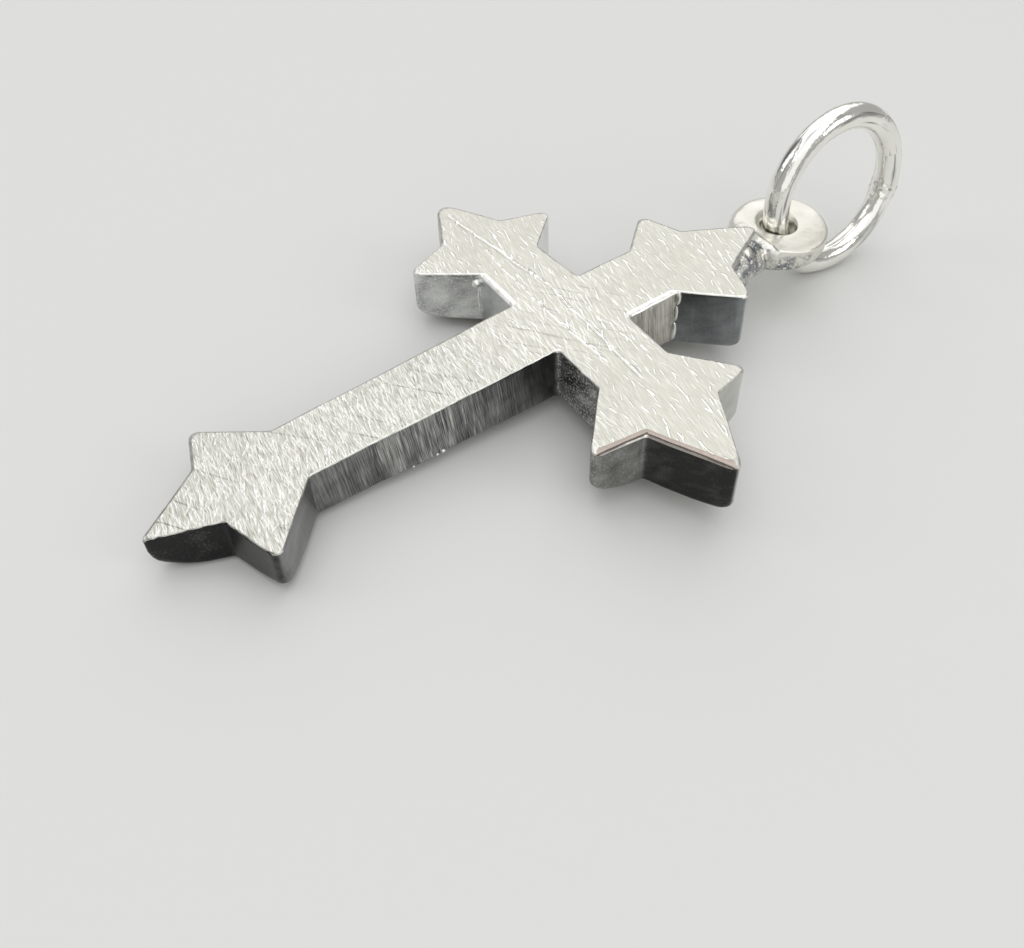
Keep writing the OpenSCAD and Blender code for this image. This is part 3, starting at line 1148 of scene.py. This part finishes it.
# The lighter bevels and the bright band below the wide one are painted highlights
painted_lip_highlight = ((outer + waver - 0.89) * 14).clamped() * wide * painted_bevel_highlight
colour = mixed(bevels, (painted_bevel_highlight + (nicks - 0.5) * 0.8).clamped(), SILVER_SHADE, SILVER_LIGHT)
colour = mixed(bevels, wide, colour, BROWN)
colour = mixed(bevels, dark_line, colour, LINE)
colour = mixed(bevels, painted_lip_highlight, colour, SILVER_LIGHT)
bevels.feed(
    Base_Color=colour,
    Roughness=0.26 + nicks * 0.12,
    Normal=bumped(bevels, nicks, 0.00001),
)

# %% [markdown]
# ## Walls
# The walls keep the upright marks of the file. Some were polished afterwards and one inner wall is
# pitted. Most are painted darker than the front: their colour carries a painted reflection, nearly
# black on some walls and light on others. Four attributes of the mesh steer one material through
# all of that.

# %% The filed walls
# Ends of the painted reflection in the walls: nearly black for painted shade, light for a bright
# painted reflection, each cool or warm
COOL_DARK_REFLECTION = (0.027, 0.032, 0.038, 1)
WARM_DARK_REFLECTION = (0.036, 0.034, 0.029, 1)
COOL_LIGHT = (0.74, 0.78, 0.80, 1)
WARM_LIGHT = (0.84, 0.81, 0.72, 1)

walls = Finish("filed_wall_painted_reflection", Metallic=1)
place = uv_place(walls)
filed, tone, pitted, warm = (note(walls, name) for name in ("filed", "tone", "pitted", "warm"))
upright = grain(walls, place, 96, (2.2, 0.028), 3)
leaning = grain(walls, place, 104, (1.2, 0.045))
broad = grain(walls, place, 92, (5, 0.6))
mottled = grain(walls, place, 20, (0.9, 0.5))
# The pits are real in the bump; in the colour they add painted sparkle
pits_and_sparkle = (grain(walls, place, 0, (0.09, 0.08)) * 6 - 3.3).clamped()
sparks = strokes(walls, place, 95, (1.2, 0.25), 0.03, 1)
marks = ((upright - 0.5) * 1.5 + (leaning - 0.5) * 0.6 + (broad - 0.5) * 0.7 + sparks * 0.4) * filed
patches = (mottled - 0.5) * (0.25 + pitted)
# How light a wall is painted here is mostly a painted reflection, with painted highlights and shade
# from the lumps
light = (tone + marks + patches + (pits_and_sparkle - 0.2) * pitted * 1.2).clamped()
light = light * light * 0.6 + light * 0.4
dark_reflection_tint = mixed(walls, warm, COOL_DARK_REFLECTION, WARM_DARK_REFLECTION)
light_tint = mixed(walls, warm, COOL_LIGHT, WARM_LIGHT)
walls.feed(
    Base_Color=mixed(walls, light, dark_reflection_tint, light_tint),
    Roughness=0.12 + filed * 0.22 + pitted * 0.16 + mottled * 0.06,
    Normal=bumped(walls, marks * 0.7 + patches * 0.3 + pits_and_sparkle * pitted, 0.00002),
)

# %% [markdown]
# ## Back
# The photograph doesn't show the back. Such a back is rubbed flat in one direction and carries the
# scratches of wear, so it gets a fine grain and two sets of strokes.

# %% The rubbed back
rubbed_back = Finish("rubbed_back", Metallic=1)
place = uv_place(rubbed_back)
fine = grain(rubbed_back, place, 80, (0.8, 0.04))
worn = strokes(rubbed_back, place, 30, (1.6, 0.5), 0.03, 2.5)
worn += strokes(rubbed_back, place, -50, (1.2, 0.6), 0.03, 2.5, 4.4)
rubbed_back.feed(
    Base_Color=mixed(rubbed_back, (fine * 0.8 + worn).clamped(), SILVER_SHADE, SILVER),
    Roughness=0.38 - worn * 0.1,
    Normal=bumped(rubbed_back, fine - worn, 0.00001),
)

# %% [markdown]
# ## Polished silver
# The eyelet and the jump ring were polished and then worn: nearly a mirror, with a fine grain and a
# soft bloom. Both finishes start alike, so one function makes them. Its patterns read object
# coordinates in metres, which a Mapping node first turns into millimetres.

# %% Polished silver
POLISHED = (0.97, 0.96, 0.915, 1)
POLISHED_SHADE = (0.84, 0.83, 0.785, 1)


def speckle(finish, spot, scale, detail):
    """A noise in space, from 0 to 1."""
    inputs = {"Vector": spot, "Scale": scale, "Detail": detail}
    return finish.node("ShaderNodeTexNoise", None, inputs)


def polished(name, shade, light, roughness):
    """A polished finish, with its pattern's place, where its solder is and its colour so far."""
    finish = Finish(name, Metallic=1)
    metres = finish.node("ShaderNodeTexCoord", output="Object")
    inputs = {"Vector": metres, "Scale": (1 / MM, 1 / MM, 1 / MM)}
    spot = finish.node("ShaderNodeMapping", None, inputs)
    bloom = speckle(finish, spot, 0.9, 3)
    fine = speckle(finish, spot, 7, 3)
    soldered = note(finish, "soldered")
    colour = mixed(finish, (bloom * 2 - 0.4).clamped(), shade, light)
    finish.feed(
        Roughness=roughness + bloom * 0.08 + fine * 0.04,
        Normal=bumped(finish, fine * (0.12 + soldered * 0.6) + bloom, 0.00006),
    )
    return finish, spot, soldered, colour


# %% [markdown]
# The jump ring gets thin dark streaks of painted reflection, drawn out along its wire by its own UV
# map.

# %% The polished ring
RING_DARK_REFLECTION = (0.13, 0.14, 0.16, 1)

wire, _, _, colour = polished("polished_wire_painted_streaks", POLISHED_SHADE, POLISHED, 0.09)
painted_reflection_streaks = (grain(wire, uv_place(wire, "wire"), 0, (2.4, 0.2)) * 6 - 3.45).clamped()
wire.feed(Base_Color=mixed(wire, painted_reflection_streaks * 0.8, colour, RING_DARK_REFLECTION))

# %% [markdown]
# The eyelet is duller and a little tanned by wear. Where the solder is, the crumbs are painted: dark
# painted reflections beside bright painted sparkle. A broad noise says where the dark ones crowd,
# and a fine one cuts them out.

# %% The worn eyelet and its solder
WORN = (0.90, 0.885, 0.82, 1)
WORN_SHADE = (0.70, 0.685, 0.615, 1)
SOLDER_DARK_REFLECTION = (0.15, 0.165, 0.20, 1)

solder, spot, soldered, colour = polished("polished_solder_painted_sparkle", WORN_SHADE, WORN, 0.24)
cloud = speckle(solder, spot, 1.7, 1)
grit = speckle(solder, spot, 6, 2)
# Dark crumbs are painted dark reflections, bright ones painted sparkle
dark = (cloud * 4 + grit * 3.5 - 3.2).clamped() * soldered
painted_sparkle = (grit * 9 - 5).clamped() * soldered
colour = mixed(solder, dark * 0.9, colour, SOLDER_DARK_REFLECTION)
solder.feed(Base_Color=mixed(solder, painted_sparkle, colour, POLISHED))

# %% [markdown]
# ## Finishes on their pieces
# Each face of the plate already carries the number of its finish. So the order here has to be the
# order of those numbers: front, bevels, walls, back.

# %% Materials on the pieces
for finish in (satin, bevels, walls, rubbed_back):
    plate_piece.data.materials.append(finish.material)
eyelet_piece.data.materials.append(solder.material)
ring_piece.data.materials.append(wire.material)
print("materials of the plate:", plate_piece.data.materials.keys())

# %% [markdown]
# ## The table
# A plain, pale, matt surface. It isn't part of the pendant.

# %% Floor
FLOOR_SIZE = 0.5
table = bmesh.new()
bmesh.ops.create_grid(table, x_segments=1, y_segments=1, size=FLOOR_SIZE)
floor = object_from(table, "floor")
matt = Finish("pale_floor", Base_Color=(0.68, 0.68, 0.67, 1), Roughness=0.9)
floor.data.materials.append(matt.material)
print("floor:", 2 * FLOOR_SIZE, "m wide")

# %% [markdown]
# ## Light
# Silver shows what is around it. One large soft light stands behind the pendant, where the front
# mirrors it to the camera. Another hangs overhead for the round wire, with a dimmer one below it.
# A small one at the right lights the bevels, and a weak one stands at the left.

# %% Soft lights
Lamp = namedtuple("Lamp", "azimuth height distance size watts")
LAMPS = {
    "window": Lamp(-124, 48, 0.24, 0.3, 0.23),
    "overhead": Lamp(50, 76, 0.26, 0.3, 0.3),
    "bevel_light": Lamp(122, 31, 0.25, 0.1, 0.065),
    "front": Lamp(62, 30, 0.3, 0.3, 0.17),
    "side": Lamp(-40, 35, 0.25, 0.12, 0.05),
}
AIM = Vector((0, -0.002, 0.001))
ROOM_COLOUR = (0.96, 0.96, 0.94, 1)
ROOM_LIGHT = 0.42


def direction(azimuth, height):
    """The way from the pendant to a place round it. Azimuth 0 is at its foot, 90 at its right."""
    a, h = math.radians(azimuth), math.radians(height)
    return Vector((math.sin(a) * math.cos(h), -math.cos(a) * math.cos(h), math.sin(h)))


for name, lamp in LAMPS.items():
    data = bpy.data.lights.new(name, "AREA")
    data.size = lamp.size
    data.energy = lamp.watts
    light = new_object(name, data)
    way = direction(lamp.azimuth, lamp.height)
    light.location = AIM + way * lamp.distance
    light.rotation_euler = way.to_track_quat("Z", "Y").to_euler()

world = bpy.data.worlds.new("studio")
world.use_nodes = True
background = world.node_tree.nodes["Background"]
background.inputs["Color"].default_value = ROOM_COLOUR
background.inputs["Strength"].default_value = ROOM_LIGHT
bpy.context.scene.world = world
bpy.context.scene.view_settings.view_transform = "Standard"
print("lights:", len(LAMPS))

# %% [markdown]
# ## Camera
# The camera looks down at the pendant from its right side, at the angle of the photograph. It
# stands only a few centimetres away, which gives the strong perspective. Its three axes are put
# together as a matrix, and a last turn rolls it a little.

# %% Camera
AZIMUTH = 53.5
HEIGHT = 48
CAMERA_ROLL = 2.5
DISTANCE = 0.0364
LOOKS_AT = Vector((0.0027, -0.0047, 0))
LENS = 37.2

camera_data = bpy.data.cameras.new("camera")
camera_data.lens = LENS
camera_data.clip_start = MM
camera = new_object("camera", camera_data)
back_way = direction(AZIMUTH, HEIGHT)
level = direction(AZIMUTH + 90, 0)
turn = Matrix((level, back_way.cross(level), back_way)).transposed()
turn = turn @ Matrix.Rotation(math.radians(CAMERA_ROLL), 3, "Z")
camera.matrix_world = Matrix.Translation(LOOKS_AT + back_way * DISTANCE) @ turn.to_4x4()
bpy.context.scene.camera = camera
print("camera at:", [round(c, 4) for c in camera.matrix_world.translation], "m")
